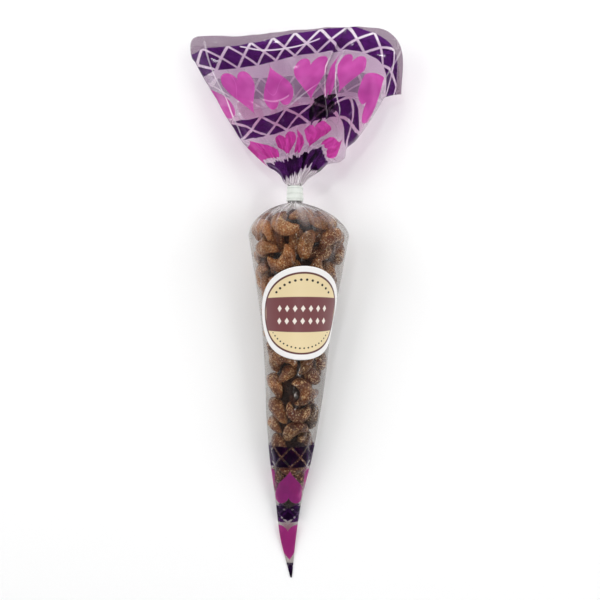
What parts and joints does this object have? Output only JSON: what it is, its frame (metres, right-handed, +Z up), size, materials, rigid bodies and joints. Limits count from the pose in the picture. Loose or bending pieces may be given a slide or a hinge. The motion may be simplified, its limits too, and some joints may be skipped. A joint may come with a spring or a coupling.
{
  "type": "cone of roasted cashews",
  "caption": "Tied cone bag of clear printed film filled with sugar-glazed roasted cashews, with a flared mouth and a round paper label, lying down.",
  "frame": {"origin": "centre of the bounding box in plan, on the surface that the bag lies on", "axes": "+Y from the pointed tip to the open mouth, +Z up out of the labelled side, +X to the right of the label seen from above"},
  "size_m": [0.1514, 0.3951, 0.0615],
  "materials": {
    "bag": "glazed brown nuts seen through clear film printed in purple and magenta",
    "label": "coated label paper, white edge, cream and maroon fields",
    "tie": "white band wound three turns"
  },
  "bodies": {
    "root": {"bag": "bag", "label": "label", "tie": "tie"}
  },
  "joints": []
}
